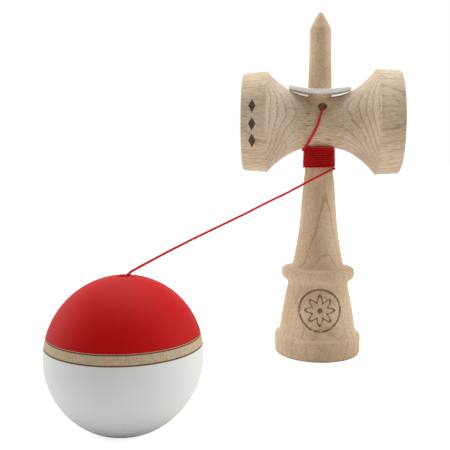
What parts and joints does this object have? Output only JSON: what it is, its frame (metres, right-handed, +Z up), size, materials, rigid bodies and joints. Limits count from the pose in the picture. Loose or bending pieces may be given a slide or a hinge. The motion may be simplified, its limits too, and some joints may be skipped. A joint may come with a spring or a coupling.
{
  "type": "kendama",
  "caption": "Wooden kendama: a handle with a spike and base cup, a cross piece with two cups, and a two-tone ball tethered by a string wound round the shaft.",
  "frame": {"origin": "on the table, in the middle of the box round the ken, sarado, washer and ball", "axes": "+Z up along the ken, from its base cup to its spike; +X along the sarado, from its small cup to its big cup; -Y towards the side that the ball and the sarado's string hole are on"},
  "size_m": [0.1454, 0.16, 0.1724],
  "materials": {
    "ken_beech": "sanded, unvarnished beech",
    "sarado_beech": "sanded, unvarnished beech",
    "tama_paint": "satin paint on beech, red over white with a bare band between",
    "white_plastic": "satin",
    "red_string": "twisted polyester cord",
    "bead_plastic": "satin"
  },
  "bodies": {
    "ken": {"ken": "ken_beech", "sarado": "sarado_beech", "string_front": "red_string", "string_wrap": "red_string", "ken_knot": "red_string"},
    "washer": {"saddle_washer": "white_plastic"},
    "string_turn": {"string_last_turn": "red_string"},
    "string_span": {"string_span": "red_string"},
    "string_end": {"string_end": "red_string", "tama_bead": "bead_plastic", "tama_knot": "red_string"},
    "tama": {"tama": "tama_paint"}
  },
  "joints": [
    {"name": "washer_lift", "type": "slide", "parent": "ken", "child": "washer", "axis": [0, 0, 1], "range_m": [0, 0.034]},
    {"name": "string_orbit", "type": "hinge", "parent": "ken", "child": "string_turn", "pos_m": [0.03333, 0.05365, 0.095], "axis": [0, 0, 1], "range_deg": [-45, 45]},
    {"name": "string_swing", "type": "hinge", "parent": "string_turn", "child": "string_span", "pos_m": [0.03998, 0.04804, 0.0941], "axis": [-0.7645, 0.6446, 0], "range_deg": [0, 60]},
    {"name": "tama_tilt", "type": "hinge", "parent": "string_span", "child": "string_end", "pos_m": [-0.04272, -0.05005, 0.0573], "axis": [-0.7645, 0.6446, 0], "range_deg": [-8, 76]},
    {"name": "tama_spin", "type": "hinge", "parent": "string_end", "child": "tama", "pos_m": [-0.04272, -0.05005, 0.03], "axis": [0, 0, 1], "continuous": true}
  ]
}
